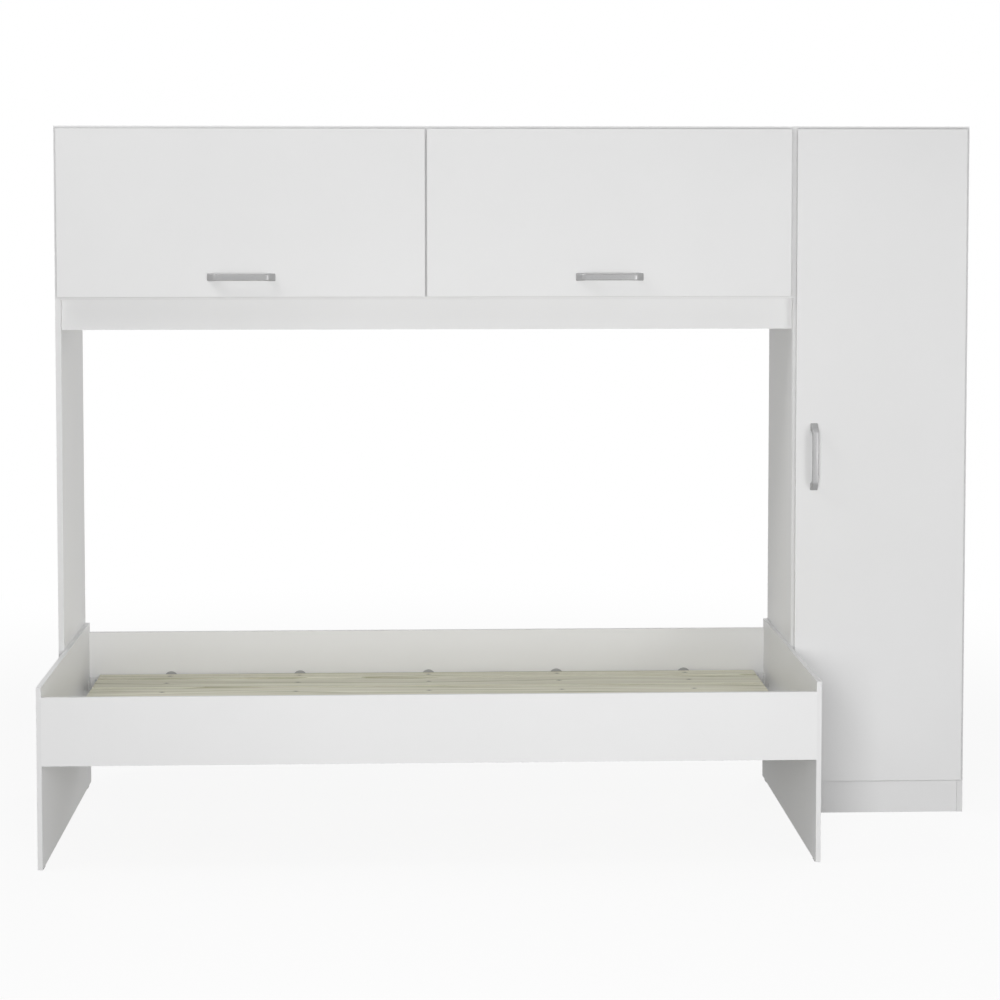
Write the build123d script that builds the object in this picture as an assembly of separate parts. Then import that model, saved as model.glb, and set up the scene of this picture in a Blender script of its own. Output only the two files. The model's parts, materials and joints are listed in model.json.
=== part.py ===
from build123d import *
from math import atan2, cos, degrees, hypot, radians, sin
import os

# Mattress that the bed takes, and the play around it
mattress_length = 1880
mattress_width = 880
mattress_end_play = 10
mattress_side_play = 5

# Boards
bed_board = 12
carcass_board = 15
door_board = 15
back_board = 3
back_inset = 10  # from the rear edge to the back's groove
back_tongue = 6  # how far the back sits in its grooves

# Overall heights and depths
total_height = 1832
carcass_depth = 420
wardrobe_width = 466
cabinet_height = 454

# Bed
end_panel_height = 451
glide_height = 3
glide_length = 30
glide_front_inset = 17
glide_rear_inset = 43
rail_bottom = 259.5
rail_height = 169

# Deck
deck_top = 310
plank_thickness = 15
plank_width = 108
plank_gap = 16
edge_plank_least = 30
plank_end_gap = 30
batten_thickness = 20
batten_width = 65
batten_count = 5
batten_pitch = 361
batten_end_gap = 5
nail_radius = 1.5
nail_head_radius = 3
nail_head = 1
nail_length = 30

# Bed brackets
bracket_steel = 2
slat_bracket_width = 40
slat_bracket_leg = 30
slat_bracket_rise = 7  # of its round top above the deck
corner_leg = 28
corner_height = 38
corner_bottom = 264
leg_screw_share = 0.6  # along a leg, from its bend to its screws

# Cabinet front
valance_height = 80
valance_setback = 20
flap_reveal = 7
flap_gap = 5
door_gap = 2
edge_round = 1

# Wardrobe
door_reveal = 8
door_top_reveal = 7
door_bottom_lap = 4  # bottom board showing under the door
plinth_height = 86
plinth_setback = 3
shelf_drop = 312  # from the top to the shelf's underside
shelf_setback = 25
rail_drop = 55  # from the shelf's underside to the rail's middle
tube_height = 30
tube_width = 15
tube_wall = 1.2
socket_depth = 12
socket_wall = 2
socket_play = 0.1
socket_ears = 45

# Bow handles
handle_length = 178
handle_spacing = 160
handle_projection = 28
handle_waist = 16
handle_end_width = 22
handle_flare = 24
handle_leg = 18  # run of each sloping end
handle_crown = 2.5  # rise of the bar from its ends to its middle
handle_foot = 19  # seat of each end on the door
handle_inner_lean = 9
handle_tip = 2.5  # height of its outer end
handle_bar = 7
handle_bend = 6
handle_thread = 8
handle_corner = 3
flap_handle_rise = 52
wardrobe_handle_inset = 48
wardrobe_handle_height = 960

# Cup hinges
cup_radius = 17.5
cup_depth = 11
cup_clearance = 0.5  # under the cup, in its bore
cup_wall = 1
cheek_thickness = 1.5  # of the two cheeks in the cup that the arm works between
cheek_height = 12
cup_edge = 22.5  # from the door's edge to the cup's centre
flange_thickness = 1
flange_rim = 2
flange_wing = 28
flange_wing_width = 14
flange_screw_offset = 23.5
arm_width = 14
arm_height = 9
arm_reach = 3  # into the mouth of the cup
arm_length = 72
plate_length = 40
plate_width = 32
plate_steel = 2
plate_start = 26
flap_hinge_inset = 110
wardrobe_hinges = 3
wardrobe_hinge_inset = 110

# Gas struts, placed from the flap's hinge line
strut_lift = 90  # opening angle of the flaps
strut_offset = 15  # from the cabinet's side to the strut's middle
strut_back = 167
strut_drop = 155
strut_door_back = 12
strut_door_drop = 60
barrel_radius = 7.5
barrel_start = 9
barrel_short = 26  # from the barrel's end to the door pivot, closed
strut_rod_radius = 3
rod_engagement = 30  # still in the barrel when open
strut_eye_radius = 5.5
strut_eye_width = 7
strut_pin_radius = 3
stud_plate = 2
stud_plate_length = 36
stud_plate_width = 16
stud_screw_pitch = 24
pin_cap_radius = 4.5
pin_cap = 1.5
lug_steel = 2
lug_gap = 3  # from the strut's eye to the lug
door_plate_width = 22
door_plate_height = 30
door_plate_screw_pitch = 18

# Fits and fasteners
running_fit = 0.1
side_play = 0.3
screw_fit = 0.1
board_screw_radius = 3
board_screw_head_radius = 5
board_screw_head = 3
board_screw_length = 50
board_screw_inset = 50
small_screw_radius = 1.75
small_screw_head_radius = 3.2
small_screw_head = 1.2
small_screw_length = 10
handle_screw_radius = 2
handle_screw_head_radius = 4
handle_screw_head = 2
bolt_radius = 3
bolt_head_radius = 7
bolt_head = 2
bolt_height = 283
bolt_front = 320  # from the rear edge
bolt_rear = 110
valance_screws = 4

# Places across the width, from the left
inner_length = mattress_length + 2 * mattress_end_play
bed_length = inner_length + 2 * bed_board
total_width = carcass_board + bed_length + wardrobe_width
bed_depth = mattress_width + 2 * mattress_side_play + 2 * bed_board
x_left = -total_width / 2
x_bed = x_left + carcass_board
x_joint = x_bed + bed_length
x_right = total_width / 2
x_cabinet_end = x_joint - carcass_board
bed_middle = (x_bed + x_joint) / 2

# Places in depth, from the front to the wall
y_bed_front = -bed_depth / 2
y_wall = bed_depth / 2
y_carcass = y_wall - carcass_depth
y_pivot = y_carcass - door_gap
y_door = y_pivot - door_board
y_rail_front = y_bed_front + bed_board
y_rail_rear = y_wall - bed_board
y_back = y_wall - back_inset
y_deck_front = y_rail_front + batten_end_gap
y_deck_rear = y_rail_rear - batten_end_gap

# Places in height
z_cabinet = total_height - cabinet_height
z_cabinet_floor = z_cabinet + carcass_board
z_cabinet_roof = total_height - carcass_board
z_flap_top = total_height - flap_reveal
z_flap_bottom = z_cabinet + flap_reveal
z_wardrobe_floor = plinth_height + carcass_board
z_door_bottom = plinth_height + door_bottom_lap
z_door_top = total_height - door_top_reveal
z_shelf = total_height - shelf_drop
z_rail = z_shelf - rail_drop
z_batten_top = deck_top - plank_thickness
z_batten_bottom = z_batten_top - batten_thickness
cabinet_middle = (x_left + x_joint) / 2


def board(x0, x1, y0, y1, z0, z1):
    """A box between two corners."""
    return Pos((x0 + x1) / 2, (y0 + y1) / 2, (z0 + z1) / 2) * Box(x1 - x0, y1 - y0, z1 - z0)


def rod(radius, length):
    """A round bar from the origin up its own Z axis."""
    return extrude(Circle(radius), length)


def along(x, y, z, direction):
    """A place whose Z axis points one way, for screws and pins."""
    return Location(Plane(origin=(x, y, z), z_dir=direction))


def near(piece, cutter):
    """Whether the two shapes' boxes meet."""
    a, b = piece.bounding_box(), cutter.bounding_box()
    lows = zip(tuple(a.min), tuple(b.max))
    highs = zip(tuple(b.min), tuple(a.max))
    return all(low <= high for low, high in (*lows, *highs))


def drilled(piece, cutters):
    """A piece with its holes, grooves and notches."""
    cutters = [cutter for cutter in cutters if near(piece, cutter)]
    return piece - cutters if cutters else piece


def save(name, pieces):
    """One file for a sub-part of one or more solids."""
    solids = [solid for piece in pieces for solid in piece.solids()]
    export_step(solids[0] if len(solids) == 1 else Compound(children=solids), f"parts/{name}.step")


def flush_screws(places, radius, length, head_radius, head, fit=0.0):
    """Screws and nails with their heads sunk flush, or their holes where a fit is given."""
    shank, cap = rod(radius + fit, length + fit), rod(head_radius + fit, head)
    return [along(*place) * (shank + cap) for place in places]


def board_screws(places, fit=0.0):
    """Long screws through one board into the edge of the next."""
    size = (board_screw_radius, board_screw_length, board_screw_head_radius, board_screw_head)
    return flush_screws(places, *size, fit)


def raised_screws(places, radius, length, head_radius, head, fit=0.0):
    """Screws with a head that stands on the surface, or their holes where a fit is given."""
    shank = rod(radius + fit, length + fit)
    if fit:
        return [along(*place) * shank for place in places]
    cap = Pos(0, 0, -head) * rod(head_radius, head)
    return [along(*place) * (shank + cap) for place in places]


def small_screws(places, fit=0.0):
    """Short screws that hold hinges and brackets."""
    size = (small_screw_radius, small_screw_length, small_screw_head_radius, small_screw_head)
    return raised_screws(places, *size, fit)


def joining_bolts(places, grip, fit=0.0):
    """Bolts with a flush head at each end that hold two boards face to face."""
    shank = rod(bolt_radius + fit, grip)
    cap = rod(bolt_head_radius + fit, bolt_head)
    bolt = shank + cap + Pos(0, 0, grip - bolt_head) * cap
    return [along(*place, (1, 0, 0)) * bolt for place in places]


def hinge_cup():
    """Flanged cup about the hinge line along local X, with the door below it."""
    bore = Pos(0, 0, -cup_edge) * Rot(X=90)
    rim = bore * Pos(0, 0, -flange_thickness)
    wings = Pos(0, flange_thickness / 2, -cup_edge) * Box(
        2 * flange_wing, flange_thickness, flange_wing_width
    )
    cup = bore * rod(cup_radius, cup_depth) + rim * rod(cup_radius + flange_rim, flange_thickness)
    hollow = rim * rod(cup_radius - cup_wall, cup_depth - cup_wall + flange_thickness)
    cup = cup + wings - hollow
    near_face = arm_width / 2 + side_play
    for side in (-1, 1):
        cheek = Pos(side * (near_face + cheek_thickness / 2), -cup_depth / 2, -cup_edge)
        cup = cup + cheek * Box(cheek_thickness, cup_depth, cheek_height)
    return drilled(cup, small_screws(cup_screw_places(), screw_fit))


def cup_bore():
    """The room for one cup in a door."""
    return Pos(0, 0, -cup_edge) * Rot(X=90) * rod(cup_radius + screw_fit, cup_depth + cup_clearance)


def hinge_arm(face):
    """Arm and plate of one hinge; face is the carcass board's distance past the hinge line."""
    arm = Pos(0, arm_length / 2 - arm_reach, -cup_edge) * Box(arm_width, arm_length, arm_height)
    middle = plate_start + plate_length / 2
    plate = Pos(0, middle, -face - plate_steel / 2) * Box(plate_width, plate_length, plate_steel)
    top, bottom = -face - plate_steel, -cup_edge
    block = Pos(0, middle, (top + bottom) / 2) * Box(arm_width, plate_length, top - bottom)
    return drilled(arm + block + plate, small_screws(plate_screw_places(face), screw_fit))


def cup_screw_places():
    """Two screws through the cup's wings."""
    y, z = flange_thickness, -cup_edge
    return [(side * flange_screw_offset, y, z, (0, -1, 0)) for side in (-1, 1)]


def plate_screw_places(face):
    """Two screws through the plate's ears into the carcass."""
    ear = (arm_width + plate_width) / 4
    y, z = plate_start + plate_length / 2, -face - plate_steel
    return [(side * ear, y, z, (0, 0, 1)) for side in (-1, 1)]


def placed(places, shapes):
    """Copies of local shapes at several places."""
    return [place * shape for place in places for shape in shapes]


def handle_face(end):
    """The bow's outline from the side: a slightly arched bar between two sloping legs."""
    shoulder, foot = end - handle_leg, end - handle_foot
    crook = foot - handle_inner_lean
    peak, inner_peak = -handle_projection, handle_bar - handle_projection
    y, inner_y = peak + handle_crown, inner_peak + handle_crown
    outer = ThreePointArc((-shoulder, y), (0, peak), (shoulder, y))
    inner = ThreePointArc((crook, inner_y), (0, inner_peak), (-crook, inner_y))
    leg = [(shoulder, y), (end, -handle_tip), (end, 0), (foot, 0), (crook, inner_y)]
    right = Polyline(*leg)
    left = Polyline(*[(-u, v) for u, v in reversed(leg)])
    face = make_face([outer, *right.edges(), inner, *left.edges()])
    bends = [corner for corner in face.vertices() if abs(corner.Y) > handle_tip + handle_bar]
    return fillet(bends, handle_bend)


def handle_front(end):
    """The bow's outline from the front: a waist with a flared end each way."""
    neck, half, wide = end - handle_flare, handle_waist / 2, handle_end_width / 2
    corners = [(-end, wide), (-neck, half), (neck, half), (end, wide)]
    corners += [(x, -z) for x, z in reversed(corners)]
    outline = make_face(Polyline(*corners, close=True))
    return fillet(outline.vertices(), handle_corner)


def handle():
    """A bow handle along local X that stands out toward -Y from the door's face."""
    end = handle_length / 2
    bow = extrude(handle_face(end), handle_end_width, both=True)
    front = extrude(Plane.XZ * handle_front(end), handle_projection)
    front = front + extrude(Plane.XZ * handle_front(end), -handle_projection)
    return drilled(bow & front, handle_screws(screw_fit))


def handle_screws(fit=0.0):
    """Two screws from the inside of the door into the handle's feet."""
    places = [(side * handle_spacing / 2, door_board, 0, (0, -1, 0)) for side in (-1, 1)]
    length = door_board + handle_thread
    return raised_screws(
        places, handle_screw_radius, length, handle_screw_head_radius, handle_screw_head, fit
    )


def flap_spans():
    """Left and right edges of the two flaps."""
    left = (x_left + flap_reveal, cabinet_middle - flap_gap / 2)
    right = (cabinet_middle + flap_gap / 2, x_joint - flap_reveal)
    return {"left": left, "right": right}


def flap_hinge_places(side):
    """Two hinge places on the hinge line of one flap."""
    x0, x1 = flap_spans()[side]
    return [Pos(x, y_pivot, z_flap_top) for x in (x0 + flap_hinge_inset, x1 - flap_hinge_inset)]


def wardrobe_hinge_places():
    """Hinge places up the right edge of the wardrobe's door, its door to the left."""
    low, high = z_door_bottom + wardrobe_hinge_inset, z_door_top - wardrobe_hinge_inset
    step = (high - low) / (wardrobe_hinges - 1)
    x = x_right - door_reveal
    return [Pos(x, y_pivot, low + step * i) * Rot(Y=90) for i in range(wardrobe_hinges)]


def strut_closed():
    """From the strut's cabinet pivot to its door pivot, as depth and height, flap closed."""
    return strut_door_back - strut_back, strut_drop - strut_door_drop


def strut_opened():
    """The same with the flap open."""
    turn = radians(strut_lift)
    y = strut_door_back * cos(turn) - strut_door_drop * sin(turn)
    z = -strut_door_back * sin(turn) - strut_door_drop * cos(turn)
    return y - strut_back, z + strut_drop


def strut_lean(reach):
    """Angle of the strut's axis from upright, toward the front."""
    return degrees(atan2(-reach[0], reach[1]))


def strut_place(side):
    """The strut's own frame at its cabinet pivot: Z up the strut, X inward."""
    x = x_bed + strut_offset if side == "left" else x_cabinet_end - strut_offset
    lean = strut_lean(strut_closed())
    turn = Rot(X=lean) if side == "left" else Rot(X=lean) * Rot(Z=180)
    return Pos(x, y_pivot + strut_back, z_flap_top - strut_drop) * turn


def stud_place(side):
    """The cabinet stud's frame on the cabinet's side, with X inward."""
    x = x_bed if side == "left" else x_cabinet_end
    turn = Rot(Z=0 if side == "left" else 180)
    return Pos(x, y_pivot + strut_back, z_flap_top - strut_drop) * turn


def door_stud_place(side):
    """Where a flap's stud stands, level with its screws, in line with the cabinet's side."""
    x = x_bed if side == "left" else x_cabinet_end
    return Pos(x, y_pivot, z_flap_top - strut_door_drop)


def strut_eye():
    """A strut's round end, across its pivot."""
    return Rot(Y=90) * Pos(0, 0, -strut_eye_width / 2) * rod(strut_eye_radius, strut_eye_width)


def strut_barrel():
    """Cylinder of a gas strut with a bore for its rod."""
    closed, opened = hypot(*strut_closed()), hypot(*strut_opened())
    end = closed - barrel_short
    stroke = opened - closed
    barrel = Pos(0, 0, barrel_start) * rod(barrel_radius, end - barrel_start)
    neck_start = (strut_pin_radius + strut_eye_radius) / 2
    neck = Pos(0, 0, neck_start) * rod(strut_pin_radius, barrel_start - neck_start)
    depth = stroke + rod_engagement + side_play
    bore = Pos(0, 0, end - depth) * rod(strut_rod_radius + running_fit, depth)
    across = Rot(Y=90) * Pos(0, 0, -strut_eye_width)
    pin_hole = across * rod(strut_pin_radius + running_fit, 2 * strut_eye_width)
    return barrel + neck + strut_eye() - bore - pin_hole


def strut_rod():
    """Rod of a gas strut with the round end that meets the flap's stud."""
    closed, opened = hypot(*strut_closed()), hypot(*strut_opened())
    start = closed - barrel_short - (opened - closed) - rod_engagement
    shaft = Pos(0, 0, start) * rod(strut_rod_radius, closed - start)
    return shaft + Pos(0, 0, closed) * strut_eye()


def cabinet_stud():
    """Plate on the cabinet's side with the pin that the strut turns on."""
    plate = Pos(stud_plate / 2, 0, 0) * Box(stud_plate, stud_plate_length, stud_plate_width)
    near_face = strut_offset - strut_eye_width / 2 - side_play
    far_face = strut_offset + strut_eye_width / 2 + side_play
    shoulder = Rot(Y=90) * rod(pin_cap_radius, near_face)
    pin = Rot(Y=90) * rod(strut_pin_radius, far_face)
    cap = Rot(Y=90) * Pos(0, 0, far_face) * rod(pin_cap_radius, pin_cap)
    return drilled(plate + shoulder + pin + cap, small_screws(stud_screw_places(), screw_fit))


def stud_screw_places():
    """Two screws through the cabinet stud's plate."""
    return [(stud_plate, side * stud_screw_pitch / 2, 0, (-1, 0, 0)) for side in (-1, 1)]


def door_stud(inward):
    """Angle on the flap with the pin beside the strut's end; inward is +1 or -1 along X."""
    near_face = strut_offset + strut_eye_width / 2 + side_play
    lug_start = strut_offset + strut_eye_width / 2 + lug_gap
    plate_end = lug_start + door_plate_width
    half = door_plate_height / 2
    spans = [
        (lug_start, plate_end, 0, lug_steel, -half, half),
        (lug_start, lug_start + lug_steel, 0, strut_door_back, -strut_eye_radius, strut_eye_radius),
    ]
    pieces = [board(*sorted((inward * a, inward * b)), *rest) for a, b, *rest in spans]
    axis = Pos(0, strut_door_back, 0) * Rot(Y=90 * inward)
    round_end = axis * Pos(0, 0, lug_start) * rod(strut_eye_radius, lug_steel)
    pin = axis * Pos(0, 0, near_face) * rod(strut_pin_radius, lug_start - near_face + lug_steel)
    stud = pieces[0] + pieces[1] + round_end + pin
    return drilled(stud, small_screws(door_stud_screw_places(inward), screw_fit))


def door_stud_screw_places(inward):
    """Two screws through the angle into the flap."""
    lug_end = strut_offset + strut_eye_width / 2 + lug_gap + lug_steel
    x = inward * (lug_end + door_plate_width / 2)
    return [(x, lug_steel, side * door_plate_screw_pitch / 2, (0, -1, 0)) for side in (-1, 1)]


def bed_bolt_places():
    """Bolts that tie the bed's end panels to the tall side and to the wardrobe."""
    ys = (y_wall - bolt_front, y_wall - bolt_rear)
    return [(x, y, bolt_height) for x in (x_left, x_joint - bed_board) for y in ys]


def cabinet_bolt_places():
    """Bolts that tie the cabinet's right side to the wardrobe."""
    z = z_cabinet + cabinet_height / 2
    return [(x_cabinet_end, y_wall - inset, z) for inset in (bolt_front, bolt_rear)]


def all_bolts(fit=0.0):
    """Every joining bolt, or the holes for them."""
    bed = joining_bolts(bed_bolt_places(), carcass_board + bed_board, fit)
    return bed + joining_bolts(cabinet_bolt_places(), 2 * carcass_board, fit)


def cabinet_backs():
    """One back for each compartment, held in grooves all round."""
    half = carcass_board / 2
    z0, z1 = z_cabinet_floor - back_tongue, z_cabinet_roof + back_tongue
    spans = [
        (x_bed - back_tongue, cabinet_middle - half + back_tongue),
        (cabinet_middle + half - back_tongue, x_cabinet_end + back_tongue),
    ]
    return [board(x0, x1, y_back - back_board, y_back, z0, z1) for x0, x1 in spans]


def cabinet_screw_places():
    """Long screws at the cabinet's corners, divider and valance."""
    places = []
    for y in (y_carcass + board_screw_inset, y_wall - board_screw_inset):
        for z in (total_height - carcass_board / 2, z_cabinet + carcass_board / 2):
            places.append((x_left, y, z, (1, 0, 0)))
            places.append((x_joint, y, z, (-1, 0, 0)))
        places.append((cabinet_middle, y, total_height, (0, 0, -1)))
        places.append((cabinet_middle, y, z_cabinet, (0, 0, 1)))
    y = y_carcass + valance_setback + carcass_board / 2
    for i in range(valance_screws):
        x = x_bed + bed_length * (i + 0.5) / valance_screws
        places.append((x, y, z_cabinet_floor, (0, 0, -1)))
    return places


def cabinet_small_screws(fit=0.0):
    """Screws of the flap hinges' plates and of the struts' cabinet studs."""
    face = carcass_board - flap_reveal
    shapes = []
    for side in flap_spans():
        plates = small_screws(plate_screw_places(face), fit)
        shapes += placed(flap_hinge_places(side), plates)
        shapes += placed([stud_place(side)], small_screws(stud_screw_places(), fit))
    return shapes


def save_cabinet():
    """Bridge cabinet over the bed, its tall left side and its valance."""
    y_valance = y_carcass + valance_setback
    half = carcass_board / 2
    spans = {
        "bridge_side_left": (x_left, x_bed, y_carcass, y_wall, 0, total_height),
        "bridge_side_right": (x_cabinet_end, x_joint, y_carcass, y_wall, z_cabinet, total_height),
        "bridge_top": (x_bed, x_cabinet_end, y_carcass, y_wall, z_cabinet_roof, total_height),
        "bridge_bottom": (x_bed, x_cabinet_end, y_carcass, y_wall, z_cabinet, z_cabinet_floor),
        "bridge_divider": (
            cabinet_middle - half, cabinet_middle + half,
            y_carcass, y_wall, z_cabinet_floor, z_cabinet_roof,
        ),
        "bridge_valance": (
            x_bed, x_joint, y_valance, y_valance + carcass_board,
            z_cabinet - valance_height, z_cabinet,
        ),
    }
    places = cabinet_screw_places()
    backs = cabinet_backs()
    cutters = board_screws(places, screw_fit) + cabinet_small_screws(screw_fit)
    cutters += all_bolts(screw_fit) + backs
    for name, corners in spans.items():
        save(name, [drilled(board(*corners), cutters)])
    save("bridge_back_left", backs[:1])
    save("bridge_back_right", backs[1:])
    save("bridge_screws", board_screws(places) + cabinet_small_screws())
    arm = hinge_arm(carcass_board - flap_reveal)
    arm_places = [place for side in flap_spans() for place in flap_hinge_places(side)]
    save("flap_hinge_arms", placed(arm_places, [arm]))
    save("strut_cabinet_studs", [stud_place(side) * cabinet_stud() for side in flap_spans()])


def save_flap(side):
    """One lift-up flap with its handle, hinge cups, strut and screws."""
    x0, x1 = flap_spans()[side]
    inward = 1 if side == "left" else -1
    hinges = flap_hinge_places(side)
    handle_place = Pos((x0 + x1) / 2, y_door, z_flap_bottom + flap_handle_rise)
    stud = door_stud_place(side)

    def screws(fit=0.0):
        shapes = placed(hinges, small_screws(cup_screw_places(), fit))
        shapes += placed([handle_place], handle_screws(fit))
        return shapes + placed([stud], small_screws(door_stud_screw_places(inward), fit))

    door = board(x0, x1, y_door, y_pivot, z_flap_bottom, z_flap_top)
    door = fillet(door.faces().sort_by(Axis.Y)[0].edges(), edge_round)
    save(f"flap_door_{side}", [drilled(door, screws(screw_fit) + placed(hinges, [cup_bore()]))])
    save(f"flap_handle_{side}", [handle_place * handle()])
    save(f"flap_cups_{side}", placed(hinges, [hinge_cup()]))
    save(f"flap_screws_{side}", screws())
    save(f"strut_door_stud_{side}", [stud * door_stud(inward)])
    save(f"strut_barrel_{side}", [strut_place(side) * strut_barrel()])
    save(f"strut_rod_{side}", [strut_place(side) * strut_rod()])


def save_wardrobe():
    """Wardrobe beside the bed, without its door."""
    x0, x1 = x_joint + carcass_board, x_right - carcass_board
    y_plinth = y_carcass + plinth_setback
    y_inner = y_back - back_board
    spans = {
        "wardrobe_side_left": (x_joint, x0, y_carcass, y_wall, 0, total_height),
        "wardrobe_side_right": (x1, x_right, y_carcass, y_wall, 0, total_height),
        "wardrobe_top": (x0, x1, y_carcass, y_wall, z_cabinet_roof, total_height),
        "wardrobe_bottom": (x0, x1, y_carcass, y_wall, plinth_height, z_wardrobe_floor),
        "wardrobe_plinth": (x0, x1, y_plinth, y_plinth + carcass_board, 0, plinth_height),
        "wardrobe_shelf": (
            x0, x1, y_carcass + shelf_setback, y_inner, z_shelf, z_shelf + carcass_board
        ),
    }
    back = board(
        x0 - back_tongue, x1 + back_tongue, y_inner, y_back,
        z_wardrobe_floor - back_tongue, z_cabinet_roof + back_tongue,
    )
    places = []
    for y in (y_carcass + board_screw_inset, y_wall - board_screw_inset):
        for z in (z_wardrobe_floor, z_shelf + carcass_board, total_height):
            places.append((x_joint, y, z - carcass_board / 2, (1, 0, 0)))
            places.append((x_right, y, z - carcass_board / 2, (-1, 0, 0)))
    for x, direction in ((x_joint, (1, 0, 0)), (x_right, (-1, 0, 0))):
        places.append((x, y_plinth + carcass_board / 2, plinth_height / 2, direction))

    hinges = wardrobe_hinge_places()
    face = carcass_board - door_reveal
    sockets = [Pos(x0, 0, 0), Pos(x1, 0, 0) * Rot(Z=180)]
    y_tube = (y_carcass + y_inner) / 2
    sockets = [Pos(0, y_tube, z_rail) * place for place in sockets]

    def screws(fit=0.0):
        shapes = placed(hinges, small_screws(plate_screw_places(face), fit))
        return shapes + placed(sockets, small_screws(socket_screw_places(), fit))

    cutters = board_screws(places, screw_fit) + all_bolts(screw_fit) + screws(screw_fit) + [back]
    for name, corners in spans.items():
        save(name, [drilled(board(*corners), cutters)])
    save("wardrobe_back", [back])
    save("wardrobe_screws", board_screws(places) + screws())
    save("wardrobe_hinge_arms", placed(hinges, [hinge_arm(face)]))
    save("rail_sockets", placed(sockets, [rail_socket()]))
    length = x1 - x0 - 2 * (socket_wall + side_play)
    tube = extrude(tube_outline(0) - tube_outline(-tube_wall), length / 2, both=True)
    save("hanging_rail", [Pos((x0 + x1) / 2, y_tube, z_rail) * Rot(Y=90) * tube])


def tube_outline(grow):
    """The rail's upright oval section, larger by a wall or a play."""
    return SlotOverall(tube_height + 2 * grow, tube_width + 2 * grow)


def rail_socket():
    """Cup for the rail's end on a plate with two ears, against a side at local X = 0."""
    section = tube_outline(socket_play + socket_wall)
    cup = Rot(Y=90) * (extrude(section, socket_depth) - Pos(0, 0, socket_wall) * extrude(
        tube_outline(socket_play), socket_depth
    ))
    base = Pos(socket_wall / 2, 0, 0) * Box(socket_wall, socket_ears, tube_width)
    return drilled(cup + base, small_screws(socket_screw_places(), screw_fit))


def socket_screw_places():
    """Two screws through the socket's ears."""
    y = (socket_ears + tube_width) / 4 + socket_wall / 2
    return [(socket_wall, side * y, 0, (-1, 0, 0)) for side in (-1, 1)]


def save_wardrobe_door():
    """The wardrobe's door, hinged at the right, with its upright handle."""
    x1 = x_right - door_reveal
    x0 = x_joint + door_reveal
    hinges = wardrobe_hinge_places()
    handle_place = Pos(x0 + wardrobe_handle_inset, y_door, wardrobe_handle_height) * Rot(Y=90)

    def screws(fit=0.0):
        shapes = placed(hinges, small_screws(cup_screw_places(), fit))
        return shapes + placed([handle_place], handle_screws(fit))

    door = board(x0, x1, y_door, y_pivot, z_door_bottom, z_door_top)
    door = fillet(door.faces().sort_by(Axis.Y)[0].edges(), edge_round)
    save("wardrobe_door", [drilled(door, screws(screw_fit) + placed(hinges, [cup_bore()]))])
    save("wardrobe_handle", [handle_place * handle()])
    save("wardrobe_cups", placed(hinges, [hinge_cup()]))
    save("wardrobe_door_screws", screws())


def bed_corners():
    """The four inner corners of the bed as frames with X and Y into the bed."""
    corners = [(x_bed + bed_board, y_rail_front, 1, 1), (x_joint - bed_board, y_rail_front, -1, 1)]
    corners += [(x_bed + bed_board, y_rail_rear, 1, -1), (x_joint - bed_board, y_rail_rear, -1, -1)]
    return corners


def corner_bracket(x, y, dx, dy):
    """Steel angle in one corner: a leg on the end panel and a leg on the rail."""
    z0, z1 = corner_bottom, corner_bottom + corner_height
    first = (*sorted((x, x + dx * bracket_steel)), *sorted((y, y + dy * corner_leg)), z0, z1)
    second = (*sorted((x, x + dx * corner_leg)), *sorted((y, y + dy * bracket_steel)), z0, z1)
    return board(*first) + board(*second)


def corner_screw_places(x, y, dx, dy):
    """Two screws in each leg of a corner's angle."""
    out = corner_leg * leg_screw_share
    places = []
    for z in (corner_bottom + corner_height / 4, corner_bottom + corner_height * 3 / 4):
        places.append((x + dx * bracket_steel, y + dy * out, z, (-dx, 0, 0)))
        places.append((x + dx * out, y + dy * bracket_steel, z, (0, -dy, 0)))
    return places


def batten_xs():
    """Middles of the cross battens."""
    middle = (batten_count - 1) / 2
    return [bed_middle + batten_pitch * (i - middle) for i in range(batten_count)]


def slat_bracket():
    """Angle on a rail at local Y = 0 with a round top, its leg toward +Y under a batten."""
    radius = slat_bracket_width / 2
    foot = z_batten_bottom - bracket_steel
    crown = deck_top + slat_bracket_rise - radius
    leg = board(-radius, radius, 0, bracket_steel, foot, crown)
    top = Pos(0, 0, crown) * Rot(X=-90) * rod(radius, bracket_steel)
    shelf = board(-radius, radius, 0, slat_bracket_leg, foot, foot + bracket_steel)
    return leg + top + shelf


def slat_bracket_places():
    """Frames of the brackets along the front rail and, turned round, the rear rail."""
    front = [Pos(x, y_rail_front, 0) for x in batten_xs()]
    return front + [Pos(x, y_rail_rear, 0) * Rot(Z=180) for x in batten_xs()]


def slat_screw_places():
    """Two screws into the rail and one up into the batten."""
    z = deck_top + slat_bracket_rise - slat_bracket_width / 2
    side = slat_bracket_width / 4
    up = (0, slat_bracket_leg * leg_screw_share, z_batten_bottom - bracket_steel, (0, 0, 1))
    return [(-side, bracket_steel, z, (0, -1, 0)), (side, bracket_steel, z, (0, -1, 0)), up]


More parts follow.
